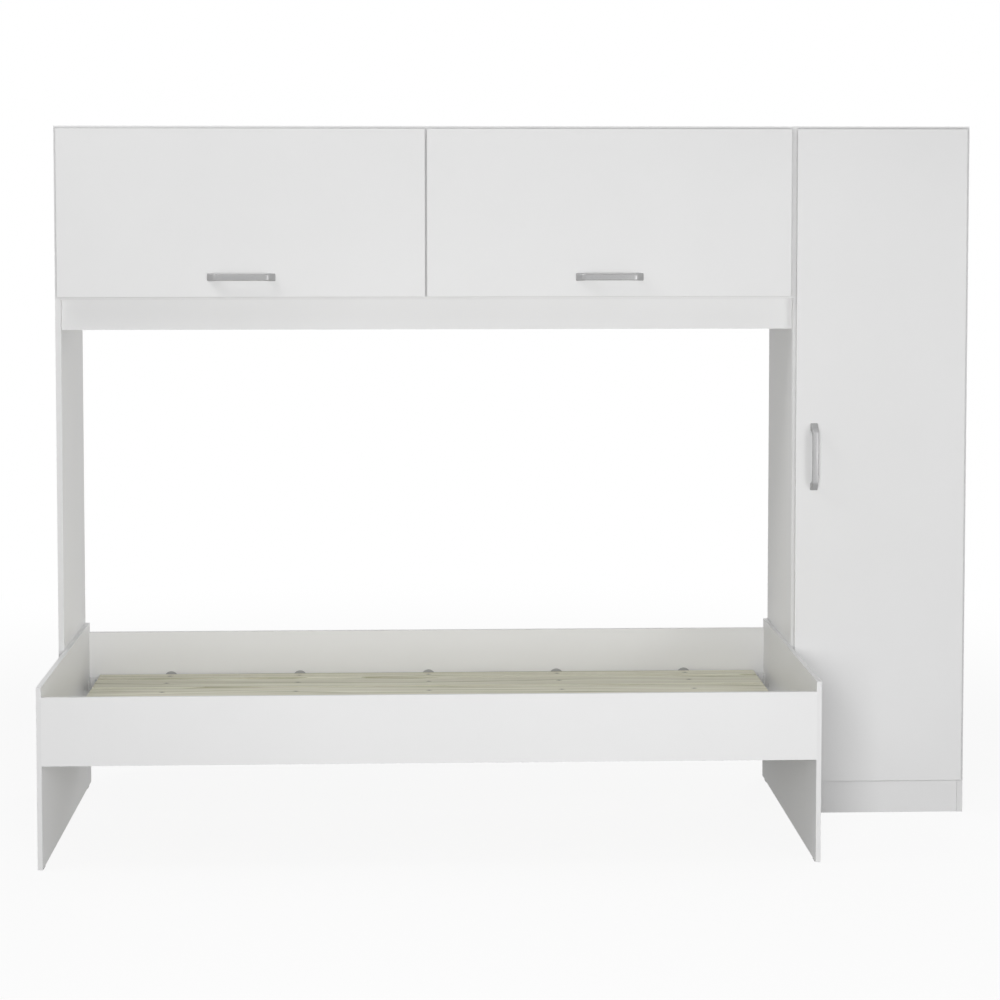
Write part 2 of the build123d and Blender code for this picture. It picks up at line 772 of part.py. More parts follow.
def save_bed():
    """Bed box of two end panels and two rails, with its steel brackets and glides."""
    z0, z1 = glide_height, glide_height + end_panel_height
    xa, xb = x_bed + bed_board, x_joint - bed_board
    rail_top = rail_bottom + rail_height
    spans = {
        "bed_end_left": (x_bed, xa, y_bed_front, y_wall, z0, z1),
        "bed_end_right": (xb, x_joint, y_bed_front, y_wall, z0, z1),
        "bed_rail_front": (xa, xb, y_bed_front, y_rail_front, rail_bottom, rail_top),
        "bed_rail_rear": (xa, xb, y_rail_rear, y_wall, rail_bottom, rail_top),
    }
    corner_places = [place for corner in bed_corners() for place in corner_screw_places(*corner)]
    brackets = slat_bracket_places()

    def screws(fit=0.0):
        shapes = small_screws(corner_places, fit)
        return shapes + placed(brackets, small_screws(slat_screw_places(), fit))

    holes = screws(screw_fit)
    for name, corners in spans.items():
        save(name, [drilled(board(*corners), holes + all_bolts(screw_fit))])
    save("bed_corner_brackets", [drilled(corner_bracket(*c), holes) for c in bed_corners()])
    save("slat_brackets", [drilled(place * slat_bracket(), holes) for place in brackets])
    save("bed_screws", screws())
    save("joining_bolts", all_bolts())
    glides = []
    for x in (x_bed, xb):
        for y in (y_bed_front + glide_front_inset, y_wall - glide_rear_inset - glide_length):
            glides.append(board(x, x + bed_board, y, y + glide_length, 0, glide_height))
    save("bed_glides", glides)
    return holes


def plank_spans():
    """Front and rear edges of the planks, as many wide ones as fit between two edge planks."""
    pitch = plank_width + plank_gap
    count = int((y_deck_rear - y_deck_front - plank_gap - 2 * edge_plank_least) // pitch)
    start = -(count * pitch - plank_gap) / 2
    spans = [(start + pitch * i, start + pitch * i + plank_width) for i in range(count)]
    first_edge, last_edge = (y_deck_front, start - plank_gap), (plank_gap - start, y_deck_rear)
    return [first_edge] + spans + [last_edge]


def save_deck(holes):
    """Planks nailed to cross battens."""
    nail = (nail_radius, nail_length, nail_head_radius, nail_head)
    spots = [(x, (a + b) / 2, deck_top, (0, 0, -1)) for x in batten_xs() for a, b in plank_spans()]
    nail_holes = flush_screws(spots, *nail, screw_fit)
    x0, x1 = x_bed + bed_board + plank_end_gap, x_joint - bed_board - plank_end_gap
    for i, (y0, y1) in enumerate(plank_spans(), 1):
        plank = board(x0, x1, y0, y1, z_batten_top, deck_top)
        save(f"deck_plank_{i}", [drilled(plank, nail_holes)])
    half = batten_width / 2
    span = (y_deck_front, y_deck_rear, z_batten_bottom, z_batten_top)
    battens = [board(x - half, x + half, *span) for x in batten_xs()]
    save("cross_battens", [drilled(batten, nail_holes + holes) for batten in battens])
    save("deck_nails", flush_screws(spots, *nail))


def print_joints():
    """Sizes that the flaps' and struts' movements follow."""
    closed, opened = strut_closed(), strut_opened()
    print("strut closed", round(hypot(*closed), 3), "open", round(hypot(*opened), 3))
    print("strut lean closed", round(strut_lean(closed), 3), "open", round(strut_lean(opened), 3))
    print("hinge line of the flaps, depth and height", y_pivot, z_flap_top)
    print("wardrobe door's hinge line", x_right - door_reveal, y_pivot)


os.makedirs("parts", exist_ok=True)
save_cabinet()
for flap_side in flap_spans():
    save_flap(flap_side)
save_wardrobe()
save_wardrobe_door()
bed_holes = save_bed()
save_deck(bed_holes)
print_joints()
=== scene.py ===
import json
import math

import bmesh
import bpy
import numpy as np
from mathutils import Matrix, Vector


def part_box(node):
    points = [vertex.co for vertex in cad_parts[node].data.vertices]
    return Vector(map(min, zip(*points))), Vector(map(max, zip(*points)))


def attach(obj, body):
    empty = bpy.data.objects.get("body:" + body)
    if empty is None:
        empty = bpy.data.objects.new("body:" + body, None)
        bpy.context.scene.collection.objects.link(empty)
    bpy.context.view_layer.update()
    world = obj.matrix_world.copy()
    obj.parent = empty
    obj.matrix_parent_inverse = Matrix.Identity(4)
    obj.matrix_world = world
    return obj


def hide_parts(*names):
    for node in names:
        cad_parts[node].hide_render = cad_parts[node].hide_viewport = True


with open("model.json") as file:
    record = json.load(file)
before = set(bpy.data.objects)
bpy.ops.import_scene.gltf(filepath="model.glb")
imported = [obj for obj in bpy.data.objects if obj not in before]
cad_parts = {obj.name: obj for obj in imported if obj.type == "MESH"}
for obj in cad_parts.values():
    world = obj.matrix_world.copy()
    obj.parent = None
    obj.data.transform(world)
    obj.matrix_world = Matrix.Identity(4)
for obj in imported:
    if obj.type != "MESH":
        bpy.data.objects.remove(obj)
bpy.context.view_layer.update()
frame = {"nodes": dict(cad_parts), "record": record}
bodies = frame["record"]["behaviour"]["bodies"]
bodyOf = {node: body for body, nodes in bodies.items() for node in nodes}
slotOf = {part["node"]: part["material_slot"] for part in frame["record"]["subparts"]}
print("frame loaded:", len(frame["nodes"]), "nodes")


# Materials

noiseRange = {"low": 0.3, "high": 0.7}


def startMaterial(name):
    material = bpy.data.materials.new(name)
    material.use_nodes = True
    tree = material.node_tree
    return material, tree, tree.nodes["Principled BSDF"]


def addNode(tree, kind, inputs=None, **settings):
    node = tree.nodes.new(kind)
    for key, value in settings.items():
        setattr(node, key, value)
    for key, value in (inputs or {}).items():
        if isinstance(value, bpy.types.NodeSocket):
            tree.links.new(value, node.inputs[key])
        else:
            node.inputs[key].default_value = value
    return node


def addRamp(tree, factor, stops):
    ramp = addNode(tree, "ShaderNodeValToRGB", {"Fac": factor})
    points = ramp.color_ramp.elements
    while len(points) < len(stops):
        points.new(0.5)
    for point, (place, color) in zip(points, stops):
        point.position = place
        point.color = (*color, 1)
    return ramp.outputs["Color"]


def addTone(tree, shader, factor, low, high):
    # the base colour goes from low to high over the middle of a noise
    color = addRamp(tree, factor, [(noiseRange["low"], low), (noiseRange["high"], high)])
    tree.links.new(color, shader.inputs["Base Color"])


def addBump(tree, shader, height, strength, distance):
    bump = addNode(tree, "ShaderNodeBump", {
        "Height": height, "Strength": strength, "Distance": distance,
    })
    tree.links.new(bump.outputs["Normal"], shader.inputs["Normal"])


def objectPlace(tree):
    return addNode(tree, "ShaderNodeTexCoord").outputs["Object"]


melamine = {
    "color": 0.83, "tone": 0.012, "toneScale": 1.6,
    "pearlScale": 1400, "pearlHeight": 0.00003, "pearl": 0.25,
    "faceRoughness": 0.42, "edgeRoughness": 0.32, "edgePaintedShade": -0.03, "roughnessSpread": 0.06,
}


def melamineMaterial(name, lift, middle):
    material, tree, shader = startMaterial(name)
    place = objectPlace(tree)
    cloud = addNode(tree, "ShaderNodeTexNoise", {
        "Vector": place, "Scale": melamine["toneScale"], "Detail": 3,
    })
    # lift moves the base colour; the edge banding's negative lift is painted shade for the doors' shadow
    # on the carcass edges
    base = melamine["color"] + lift
    low, high = [base - melamine["tone"]] * 3, [base + melamine["tone"]] * 3
    addTone(tree, shader, cloud.outputs["Fac"], low, high)
    pearl = addNode(tree, "ShaderNodeTexNoise", {
        "Vector": place, "Scale": melamine["pearlScale"], "Detail": 2,
    })
    addBump(tree, shader, pearl.outputs["Fac"], melamine["pearl"], melamine["pearlHeight"])
    gloss = addNode(tree, "ShaderNodeMapRange", {
        "Value": pearl.outputs["Fac"],
        "To Min": middle - melamine["roughnessSpread"],
        "To Max": middle + melamine["roughnessSpread"],
    })
    tree.links.new(gloss.outputs["Result"], shader.inputs["Roughness"])
    return material


pine = {
    "pale": (0.87, 0.86, 0.72), "body": (0.77, 0.75, 0.62), "line": (0.50, 0.49, 0.34),
    "stain": (0.16, 0.15, 0.10), "paleEnd": 0.30, "bodyStart": 0.45, "bodyEnd": 0.58, "lineStart": 0.76,
    "ringScale": 13, "stretch": 0.15, "waver": 9.0, "waverScale": 0.7,
    "streakScale": 26, "streakStretch": 0.07, "streakShare": 0.55, "streakWarp": 0.6,
    "fibreScale": 420, "fibreStretch": 0.02, "fibreShare": 0.16, "fibreBump": 0.35,
    "fibreHeight": 0.0002, "roughness": 0.62,
}


nails = {
    "firstBatten": -0.9475, "battenPitch": 0.361, "firstPlank": 0.062, "plankPitch": 0.124,
    "edgePlank": 0.374, "edgeNail": 0.41,
    "stainLength": 0.011, "stainWidth": 0.006, "stainCore": 0.35, "stain": 0.75,
}


def nailStain(tree, place):
    # a dark oval in the grain round every nail, found from the nails' even spacing
    def calculate(operation, first, second=0.0):
        return addNode(tree, "ShaderNodeMath", {0: first, 1: second}, operation=operation).outputs[0]

    def fromNearest(value, start, pitch):
        turns = calculate("ADD", calculate("DIVIDE", calculate("SUBTRACT", value, start), pitch), 0.5)
        return calculate("MULTIPLY", calculate("SUBTRACT", calculate("FRACT", turns), 0.5), pitch)

    axes = addNode(tree, "ShaderNodeSeparateXYZ", {"Vector": place}).outputs
    out = calculate("ABSOLUTE", axes["Y"])
    atEdge = calculate("GREATER_THAN", out, nails["edgePlank"])
    along = fromNearest(axes["X"], nails["firstBatten"], nails["battenPitch"])
    inner = fromNearest(axes["Y"], nails["firstPlank"], nails["plankPitch"])
    outer = calculate("SUBTRACT", out, nails["edgeNail"])
    across = addNode(tree, "ShaderNodeMix", {"Factor": atEdge, 2: inner, 3: outer}).outputs[0]
    oval = addNode(tree, "ShaderNodeCombineXYZ", {
        0: calculate("DIVIDE", along, nails["stainLength"]),
        1: calculate("DIVIDE", across, nails["stainWidth"]),
    })
    reach = addNode(tree, "ShaderNodeVectorMath", {0: oval.outputs[0]}, operation="LENGTH")
    return addNode(tree, "ShaderNodeMapRange", {
        "Value": reach.outputs["Value"], "From Min": nails["stainCore"], "From Max": 1.0,
        "To Min": nails["stain"], "To Max": 0.0,
    }).outputs["Result"]


def pineMaterial():
    # growth rings that run along the board, with the grain shifted for every board
    material, tree, shader = startMaterial("planedPine")
    place = objectPlace(tree)
    shift = addNode(tree, "ShaderNodeAttribute", attribute_name="boardShift").outputs["Vector"]
    across = addNode(tree, "ShaderNodeAttribute", attribute_name="grainAcross").outputs["Fac"]
    turned = addNode(tree, "ShaderNodeVectorRotate", {"Vector": place, "Angle": math.pi / 2},
                     rotation_type="Z_AXIS").outputs["Vector"]
    pick = addNode(tree, "ShaderNodeMix", {"Factor": across, 4: place, 5: turned}, data_type="VECTOR")
    moved = addNode(tree, "ShaderNodeVectorMath", {0: pick.outputs[1], 1: shift}, operation="ADD")

    def stretched(share):
        return addNode(tree, "ShaderNodeMapping", {
            "Vector": moved.outputs["Vector"], "Scale": (share, 1, 1),
        }).outputs["Vector"]

    rings = addNode(tree, "ShaderNodeTexWave", {
        "Vector": stretched(pine["stretch"]), "Scale": pine["ringScale"], "Distortion": pine["waver"],
        "Detail": 1, "Detail Scale": pine["waverScale"],
    }, wave_type="RINGS", rings_direction="X", wave_profile="SAW")
    fine = addNode(tree, "ShaderNodeTexNoise", {
        "Vector": stretched(pine["fibreStretch"]), "Scale": pine["fibreScale"], "Detail": 4,
    })
    streaks = addNode(tree, "ShaderNodeTexNoise", {
        "Vector": stretched(pine["streakStretch"]), "Scale": pine["streakScale"], "Detail": 2,
        "Distortion": pine["streakWarp"],
    })
    mixed = addNode(tree, "ShaderNodeMix", {
        "Factor": pine["streakShare"], 2: rings.outputs["Fac"], 3: streaks.outputs["Fac"],
    })
    color = addRamp(tree, mixed.outputs[0], [
        (pine["paleEnd"], pine["pale"]), (pine["bodyStart"], pine["body"]),
        (pine["bodyEnd"], pine["body"]), (pine["lineStart"], pine["line"]),
    ])
    tint = addNode(tree, "ShaderNodeMix", {
        "Factor": pine["fibreShare"], 6: color, 7: fine.outputs["Color"],
    }, data_type="RGBA", blend_type="OVERLAY")
    stained = addNode(tree, "ShaderNodeMix", {
        "Factor": nailStain(tree, place), 6: tint.outputs[2], 7: (*pine["stain"], 1),
    }, data_type="RGBA")
    tree.links.new(stained.outputs[2], shader.inputs["Base Color"])
    shader.inputs["Roughness"].default_value = pine["roughness"]
    addBump(tree, shader, fine.outputs["Fac"], pine["fibreBump"], pine["fibreHeight"])
    return material


metal = {
    "grainScale": 300, "grain": 0.15, "grainHeight": 0.00005,
    "darkShare": 0.94, "lightShare": 1.05, "glossSpread": 0.15,
}


def metalMaterial(name, color, metallic, roughness, grainScale=metal["grainScale"], grain=metal["grain"]):
    material, tree, shader = startMaterial(name)
    shader.inputs["Metallic"].default_value = metallic
    noise = addNode(tree, "ShaderNodeTexNoise", {
        "Vector": objectPlace(tree), "Scale": grainScale, "Detail": 3,
    }).outputs["Fac"]
    low, high = [tuple(c * share for c in color) for share in (metal["darkShare"], metal["lightShare"])]
    addTone(tree, shader, noise, low, high)
    gloss = addNode(tree, "ShaderNodeMapRange", {
        "Value": noise, "To Min": roughness * (1 - metal["glossSpread"]),
        "To Max": roughness * (1 + metal["glossSpread"]),
    })
    tree.links.new(gloss.outputs["Result"], shader.inputs["Roughness"])
    addBump(tree, shader, noise, grain, metal["grainHeight"])
    return material


hardboard = {
    "low": (0.78, 0.78, 0.77), "high": (0.82, 0.82, 0.81), "cloudScale": 3, "fibreScale": 260,
    "fibreBump": 0.2, "fibreHeight": 0.0001, "roughness": 0.55,
}


def hardboardMaterial():
    material, tree, shader = startMaterial("paintedHardboard")
    place = objectPlace(tree)
    fibres = addNode(tree, "ShaderNodeTexVoronoi", {"Vector": place, "Scale": hardboard["fibreScale"]})
    cloud = addNode(tree, "ShaderNodeTexNoise", {
        "Vector": place, "Scale": hardboard["cloudScale"], "Detail": 4,
    })
    addTone(tree, shader, cloud.outputs["Fac"], hardboard["low"], hardboard["high"])
    shader.inputs["Roughness"].default_value = hardboard["roughness"]
    addBump(tree, shader, fibres.outputs["Distance"], hardboard["fibreBump"], hardboard["fibreHeight"])
    return material


plastic = {
    "low": (0.42, 0.42, 0.42), "high": (0.48, 0.48, 0.48), "grainScale": 900,
    "grain": 0.2, "grainHeight": 0.0001, "roughness": 0.5,
}


def plasticMaterial():
    material, tree, shader = startMaterial("glidePlastic")
    grain = addNode(tree, "ShaderNodeTexNoise", {
        "Vector": objectPlace(tree), "Scale": plastic["grainScale"], "Detail": 2,
    })
    addTone(tree, shader, grain.outputs["Fac"], plastic["low"], plastic["high"])
    shader.inputs["Roughness"].default_value = plastic["roughness"]
    addBump(tree, shader, grain.outputs["Fac"], plastic["grain"], plastic["grainHeight"])
    return material


finishes = {
    "whiteFace": melamineMaterial("melamineFace", 0.0, melamine["faceRoughness"]),
    # the edge faces are painted a little darker than the board faces: painted shade for the shadow the
    # overlaying doors cast on the front edges
    "whiteEdge": melamineMaterial("edgeBandingPaintedShade", melamine["edgePaintedShade"], melamine["edgeRoughness"]),
    "planedPine": pineMaterial(),
    "paintedHardboard": hardboardMaterial(),
    "satinSilver": metalMaterial("satinSilver", (0.43, 0.43, 0.433), 0.85, 0.42, 500, 0.1),
    "nickel": metalMaterial("nickelPlate", (0.62, 0.60, 0.57), 0.95, 0.26),
    "zinc": metalMaterial("zincPlate", (0.66, 0.67, 0.68), 0.7, 0.38),
    "nailSteel": metalMaterial("nailSteel", (0.20, 0.19, 0.17), 0.7, 0.5),
    "greySteel": metalMaterial("greySteel", (0.42, 0.42, 0.43), 0.15, 0.45),
    "whitePaint": metalMaterial("whitePaint", (0.80, 0.80, 0.80), 0.0, 0.4),
    "strutPaint": metalMaterial("strutPaint", (0.50, 0.50, 0.51), 0.3, 0.35),
    "chrome": metalMaterial("chromePlate", (0.78, 0.78, 0.79), 1.0, 0.09, 60, 0.02),
    "glidePlastic": plasticMaterial(),
}
print("materials made:", len(finishes))


# Boards with softened edges

boards = {
    "edgeRadius": 0.0006, "faceTilt": 0.9, "weldReach": 0.000002, "flatAngle": 1,
    "bevelAngle": 35, "bevelSegments": 2, "flatWeight": 100,
}


def weldedCopy(node):
    shape = bmesh.new()
    shape.from_mesh(frame["nodes"][node].data)
    bmesh.ops.remove_doubles(shape, verts=shape.verts, dist=boards["weldReach"])
    return shape


def cleanCopy(node):
    # the node's own triangles, joined up and with flat faces made whole
    shape = weldedCopy(node)
    flat = math.radians(boards["flatAngle"])
    bmesh.ops.dissolve_limit(shape, angle_limit=flat, verts=shape.verts, edges=shape.edges)
    mesh = bpy.data.meshes.new(node)
    shape.to_mesh(mesh)
    shape.free()
    return mesh


def placePiece(mesh, name, body, slot, *nodes):
    piece = bpy.data.objects.new(name, mesh)
    bpy.context.scene.collection.objects.link(piece)
    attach(piece, body)
    if nodes:
        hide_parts(*nodes)
    return piece


def applied(name, mesh, addModifiers):
    # a plain mesh with the modifiers worked in
    helper = bpy.data.objects.new(name + "Helper", mesh)
    bpy.context.scene.collection.objects.link(helper)
    addModifiers(helper)
    bpy.context.view_layer.update()
    solved = helper.evaluated_get(bpy.context.evaluated_depsgraph_get())
    result = bpy.data.meshes.new_from_object(solved)
    bpy.data.objects.remove(helper)
    result.name = name
    return result


def softened(name, mesh, width, segments=boards["bevelSegments"]):
    def addBevel(helper):
        bevel = helper.modifiers.new("edges", "BEVEL")
        bevel.width = width
        bevel.segments = segments
        bevel.limit_method = "ANGLE"
        bevel.angle_limit = math.radians(boards["bevelAngle"])
        bevel.miter_outer = "MITER_ARC"
        even = helper.modifiers.new("flats", "WEIGHTED_NORMAL")
        even.weight = boards["flatWeight"]

    for face in mesh.polygons:
        face.use_smooth = True
    corners = np.array([vert.co for vert in mesh.vertices])
    result = applied(name, mesh, addBevel)
    # a bevel's mitre can overshoot by a hair, so it is held in the plain shape's box
    places = np.array([vert.co for vert in result.vertices])
    result.vertices.foreach_set("co", np.clip(places, corners.min(0), corners.max(0)).ravel())
    result.update()
    return result


def makeBoard(node):
    low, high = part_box(node)
    size = high - low
    thin = min(range(3), key=lambda axis: size[axis])
    mesh = softened(node + "Board", cleanCopy(node), boards["edgeRadius"])
    mesh.materials.clear()
    mesh.materials.append(finishes["whiteFace"])
    mesh.materials.append(finishes["whiteEdge"])
    for face in mesh.polygons:
        face.material_index = 0 if abs(face.normal[thin]) > boards["faceTilt"] else 1
    placePiece(mesh, node + "Board", bodyOf[node], slotOf[node], node)


boardNodes = sorted(node for node, slot in slotOf.items() if slot == "white_board")
for boardNode in boardNodes:
    makeBoard(boardNode)
print("boards made:", len(boardNodes))


# Deck of planks on battens, laid by one tree of Geometry Nodes

deck = {
    "edgeRadius": 0.0015, "edgeSegments": 3, "shiftSpan": 0.9, "plankSeed": 7, "battenSeed": 19,
    "cuts": (9, 3, 2),  # corners along, across and through a board
}


def addSocket(tree, name, kind, value=None):
    socket = tree.interface.new_socket(name, in_out="INPUT", socket_type=kind)
    if value is not None:
        socket.default_value = value
    return socket


def boardTree(name):
    # one board on each point, sized by the point's own attribute, with its own piece of grain
    tree = bpy.data.node_groups.new(name, "GeometryNodeTree")
    addSocket(tree, "Points", "NodeSocketGeometry")
    addSocket(tree, "Seed", "NodeSocketInt", 1)
    addSocket(tree, "Shift", "NodeSocketFloat", 1.0)
    addSocket(tree, "Across", "NodeSocketFloat", 0.0)
    addSocket(tree, "Finish", "NodeSocketMaterial")
    tree.interface.new_socket("Boards", in_out="OUTPUT", socket_type="NodeSocketGeometry")
    start = tree.nodes.new("NodeGroupInput").outputs
    end = tree.nodes.new("NodeGroupOutput")
    size = addNode(tree, "GeometryNodeInputNamedAttribute", {"Name": "boardSize"},
                   data_type="FLOAT_VECTOR")
    long, wide, deep = deck["cuts"]
    block = addNode(tree, "GeometryNodeMeshCube", {
        "Size": (1, 1, 1), "Vertices X": long, "Vertices Y": wide, "Vertices Z": deep,
    })
    laid = addNode(tree, "GeometryNodeInstanceOnPoints", {
        "Points": start["Points"], "Instance": block.outputs["Mesh"],
        "Scale": size.outputs["Attribute"],
    })
    span = addNode(tree, "ShaderNodeCombineXYZ", {axis: start["Shift"] for axis in range(3)})
    least = addNode(tree, "ShaderNodeVectorMath", {0: span.outputs[0], "Scale": -1.0},
                    operation="SCALE")
    draw = addNode(tree, "FunctionNodeRandomValue", {
        0: least.outputs[0], 1: span.outputs[0], "Seed": start["Seed"],
    }, data_type="FLOAT_VECTOR")
    shifted = addNode(tree, "GeometryNodeStoreNamedAttribute", {
        "Geometry": laid.outputs["Instances"], "Name": "boardShift", "Value": draw.outputs[0],
    }, data_type="FLOAT_VECTOR", domain="INSTANCE")
    turned = addNode(tree, "GeometryNodeStoreNamedAttribute", {
        "Geometry": shifted.outputs["Geometry"], "Name": "grainAcross", "Value": start["Across"],
    }, data_type="FLOAT", domain="INSTANCE")
    whole = addNode(tree, "GeometryNodeRealizeInstances", {"Geometry": turned.outputs["Geometry"]})
    finished = addNode(tree, "GeometryNodeSetMaterial", {
        "Geometry": whole.outputs["Geometry"], "Material": start["Finish"],
    })
    tree.links.new(finished.outputs["Geometry"], end.inputs["Boards"])
    return tree


def runTree(name, points, tree, values):
    def addTree(helper):
        modifier = helper.modifiers.new("tree", "NODES")
        modifier.node_group = tree
        sockets = [item for item in tree.interface.items_tree if item.in_out == "INPUT"]
        ids = {item.name: item.identifier for item in sockets}
        for key, value in values.items():
            modifier[ids[key]] = value

    return applied(name, points, addTree)


def pointMesh(name, places, attributes):
    mesh = bpy.data.meshes.new(name)
    mesh.from_pydata([tuple(place) for place in places], [], [])
    for key, values in attributes.items():
        layer = mesh.attributes.new(key, "FLOAT_VECTOR", "POINT")
        layer.data.foreach_set("vector", np.array([tuple(v) for v in values], "f").ravel())
    return mesh


def layBoards(name, boxes, seed, across, slot, *nodes):
    places = [(low + high) / 2 for low, high in boxes]
    sizes = [high - low for low, high in boxes]
    points = pointMesh(name + "Points", places, {"boardSize": sizes})
    mesh = runTree(name + "Laid", points, deckTree, {
        "Seed": seed, "Shift": deck["shiftSpan"], "Across": across, "Finish": finishes["planedPine"],
    })
    mesh = softened(name, mesh, deck["edgeRadius"], deck["edgeSegments"])
    placePiece(mesh, name, "frame", slot, *nodes)


def islands(node):
    # the separate solids of a node, each as an array of its corners
    shape = weldedCopy(node)
    seen, groups = set(), []
    for vert in shape.verts:
        if vert in seen:
            continue
        stack, group = [vert], []
        seen.add(vert)
        while stack:
            current = stack.pop()
            group.append(current.co.copy())
            for edge in current.link_edges:
                other = edge.other_vert(current)
                if other not in seen:
                    seen.add(other)
                    stack.append(other)
        groups.append(np.array(group))
    shape.free()
    return groups


deckTree = boardTree("boardsOnPoints")
plankNodes = sorted(node for node in frame["nodes"] if node.startswith("deck_plank"))
plankBoxes = [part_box(node) for node in plankNodes]
layBoards("deckPlanks", plankBoxes, deck["plankSeed"], 0.0, "pine", *plankNodes)
battenBoxes = [(Vector(group.min(0)), Vector(group.max(0))) for group in islands("cross_battens")]
layBoards("deckBattens", battenBoxes, deck["battenSeed"], 1.0, "pine", "cross_battens")
print("deck laid:", len(plankNodes), "planks and", len(battenBoxes), "battens")


# Screws, nails and bolts, set by one tree of Geometry Nodes

fasteners = {
    "rim": 28, "crossWidth": 0.22, "crossReach": 0.62, "recessDepth": 0.45, "recessFloor": 0.85,
    "socketSides": 6, "socketReach": 0.45, "proudNail": 0.00025,
    "faceShare": 0.96, "domeFace": 0.80, "domeShoulder": 0.6, "rimDrop": 0.1, "tipShare": 0.2,
    "raisedHead": 0.0025, "raisedRadius": 0.0045,  # flatter and smaller heads than these are domed
    "wideShare": 0.97, "endReach": 0.0001, "kindStep": 0.0001, "seed": 3,
}


def crossOutline(radius):
    half, reach = fasteners["crossWidth"] * radius, fasteners["crossReach"] * radius
    corner = [(half, reach), (half, half), (reach, half)]
    turns = [Matrix.Rotation(-math.pi / 2 * i, 2) for i in range(4)]
    return [turn @ Vector(point) for turn in turns for point in corner[1:] + [(reach, -half)]]


def socketOutline(radius):
    reach, sides = fasteners["socketReach"] * radius, fasteners["socketSides"]
    angles = [-2 * math.pi * i / sides for i in range(sides)]
    return [Vector((reach * math.cos(a), reach * math.sin(a))) for a in angles]


def headMesh(name, headRadius, headHeight, shankRadius, length, recess, dome):
    # origin at the head's seat or, when sunk, at the surface; the shank runs along +Z
    top, foot = (-headHeight, 0.0) if dome else (0.0, headHeight)
    face = headRadius * fasteners["faceShare"]
    if dome:
        domeFace, shoulder = headRadius * fasteners["domeFace"], top * fasteners["domeShoulder"]
        rings = [(domeFace, top), (face, shoulder), (headRadius, foot)]
    else:
        rings = [(face, top), (headRadius, headHeight * fasteners["rimDrop"]), (headRadius, foot)]
    rings += [(shankRadius, foot), (shankRadius, length - shankRadius)]
    rings.append((shankRadius * fasteners["tipShare"], length))
    shape = bmesh.new()
    count = fasteners["rim"]
    angles = [2 * math.pi * i / count for i in range(count)]
    loops = []
    for radius, z in rings:
        loops.append([shape.verts.new((radius * math.cos(a), radius * math.sin(a), z)) for a in angles])
    for first, second in zip(loops, loops[1:]):
        for i in range(count):
            shape.faces.new((first[i], first[i - 1], second[i - 1], second[i]))
    shape.faces.new(loops[-1])
    if recess:
        outline = recess(headRadius)
        deep = top + fasteners["recessDepth"] * headHeight
        upper = [shape.verts.new((p.x, p.y, top)) for p in outline]
        inset = [p * fasteners["recessFloor"] for p in outline]
        lower = [shape.verts.new((p.x, p.y, deep)) for p in inset]
        edges = [shape.edges.new((upper[i - 1], upper[i])) for i in range(len(upper))]
        rim = [shape.edges.get((loops[0][i - 1], loops[0][i])) for i in range(count)]
        bmesh.ops.triangle_fill(shape, use_beauty=True, edges=edges + rim)
        for i in range(len(upper)):
            shape.faces.new((upper[i - 1], upper[i], lower[i], lower[i - 1]))
        shape.faces.new(lower)
    else:
        shape.faces.new(loops[0])
    bmesh.ops.recalc_face_normals(shape, faces=shape.faces)
    mesh = bpy.data.meshes.new(name)
    shape.to_mesh(mesh)
    shape.free()
    return mesh


def fastenerTree():
    tree = bpy.data.node_groups.new("fastenersOnPoints", "GeometryNodeTree")
    addSocket(tree, "Points", "NodeSocketGeometry")
    addSocket(tree, "Fastener", "NodeSocketObject")
    addSocket(tree, "Seed", "NodeSocketInt", fasteners["seed"])
    addSocket(tree, "Finish", "NodeSocketMaterial")
    tree.interface.new_socket("Fasteners", in_out="OUTPUT", socket_type="NodeSocketGeometry")
    start = tree.nodes.new("NodeGroupInput").outputs
    end = tree.nodes.new("NodeGroupOutput")
    pattern = addNode(tree, "GeometryNodeObjectInfo", {"Object": start["Fastener"]})
    aim = addNode(tree, "GeometryNodeInputNamedAttribute", {"Name": "aim"}, data_type="FLOAT_VECTOR")
    twist = addNode(tree, "FunctionNodeRandomValue", {2: 0.0, 3: math.pi, "Seed": start["Seed"]})
    spin = addNode(tree, "FunctionNodeAxisAngleToRotation", {
        "Axis": (0, 0, 1), "Angle": twist.outputs[1],
    })
    turned = addNode(tree, "FunctionNodeAlignRotationToVector", {
        "Vector": aim.outputs["Attribute"],
    }, axis="Z")
    both = addNode(tree, "FunctionNodeRotateRotation", {
        "Rotation": turned.outputs["Rotation"], "Rotate By": spin.outputs["Rotation"],
    }, rotation_space="LOCAL")
    laid = addNode(tree, "GeometryNodeInstanceOnPoints", {
        "Points": start["Points"], "Instance": pattern.outputs["Geometry"],
        "Rotation": both.outputs["Rotation"],
    })
    whole = addNode(tree, "GeometryNodeRealizeInstances", {"Geometry": laid.outputs["Instances"]})
    finished = addNode(tree, "GeometryNodeSetMaterial", {
        "Geometry": whole.outputs["Geometry"], "Material": start["Finish"],
    })
    tree.links.new(finished.outputs["Geometry"], end.inputs["Fasteners"])
    return tree


def measureFastener(corners):
    # which way it points, how long it is and the radii of its two ends
    size = corners.max(0) - corners.min(0)
    axis = int(size.argmax())
    middle = (corners.max(0) + corners.min(0)) / 2
    offset = np.delete(corners - middle, axis, 1)
    radius = np.hypot(offset[:, 0], offset[:, 1])
    low, high = corners[:, axis].min(), corners[:, axis].max()
    wide = corners[radius > radius.max() * fasteners["wideShare"]][:, axis]
    near = fasteners["endReach"]
    bolt = wide.min() - low < near and high - wide.max() < near
    headFirst = wide.mean() < (low + high) / 2 or bolt
    direction = Vector((0, 0, 0))
    direction[axis] = 1 if headFirst else -1
    edge = wide[wide < (low + high) / 2] if bolt else wide
    start = middle.copy()
    start[axis] = low if headFirst else high
    return {
        "start": Vector(start), "aim": direction, "length": float(high - low),
        "headRadius": float(radius.max()), "head": float(edge.max() - edge.min()),
        "shank": float(radius.min()), "bolt": bolt,
    }


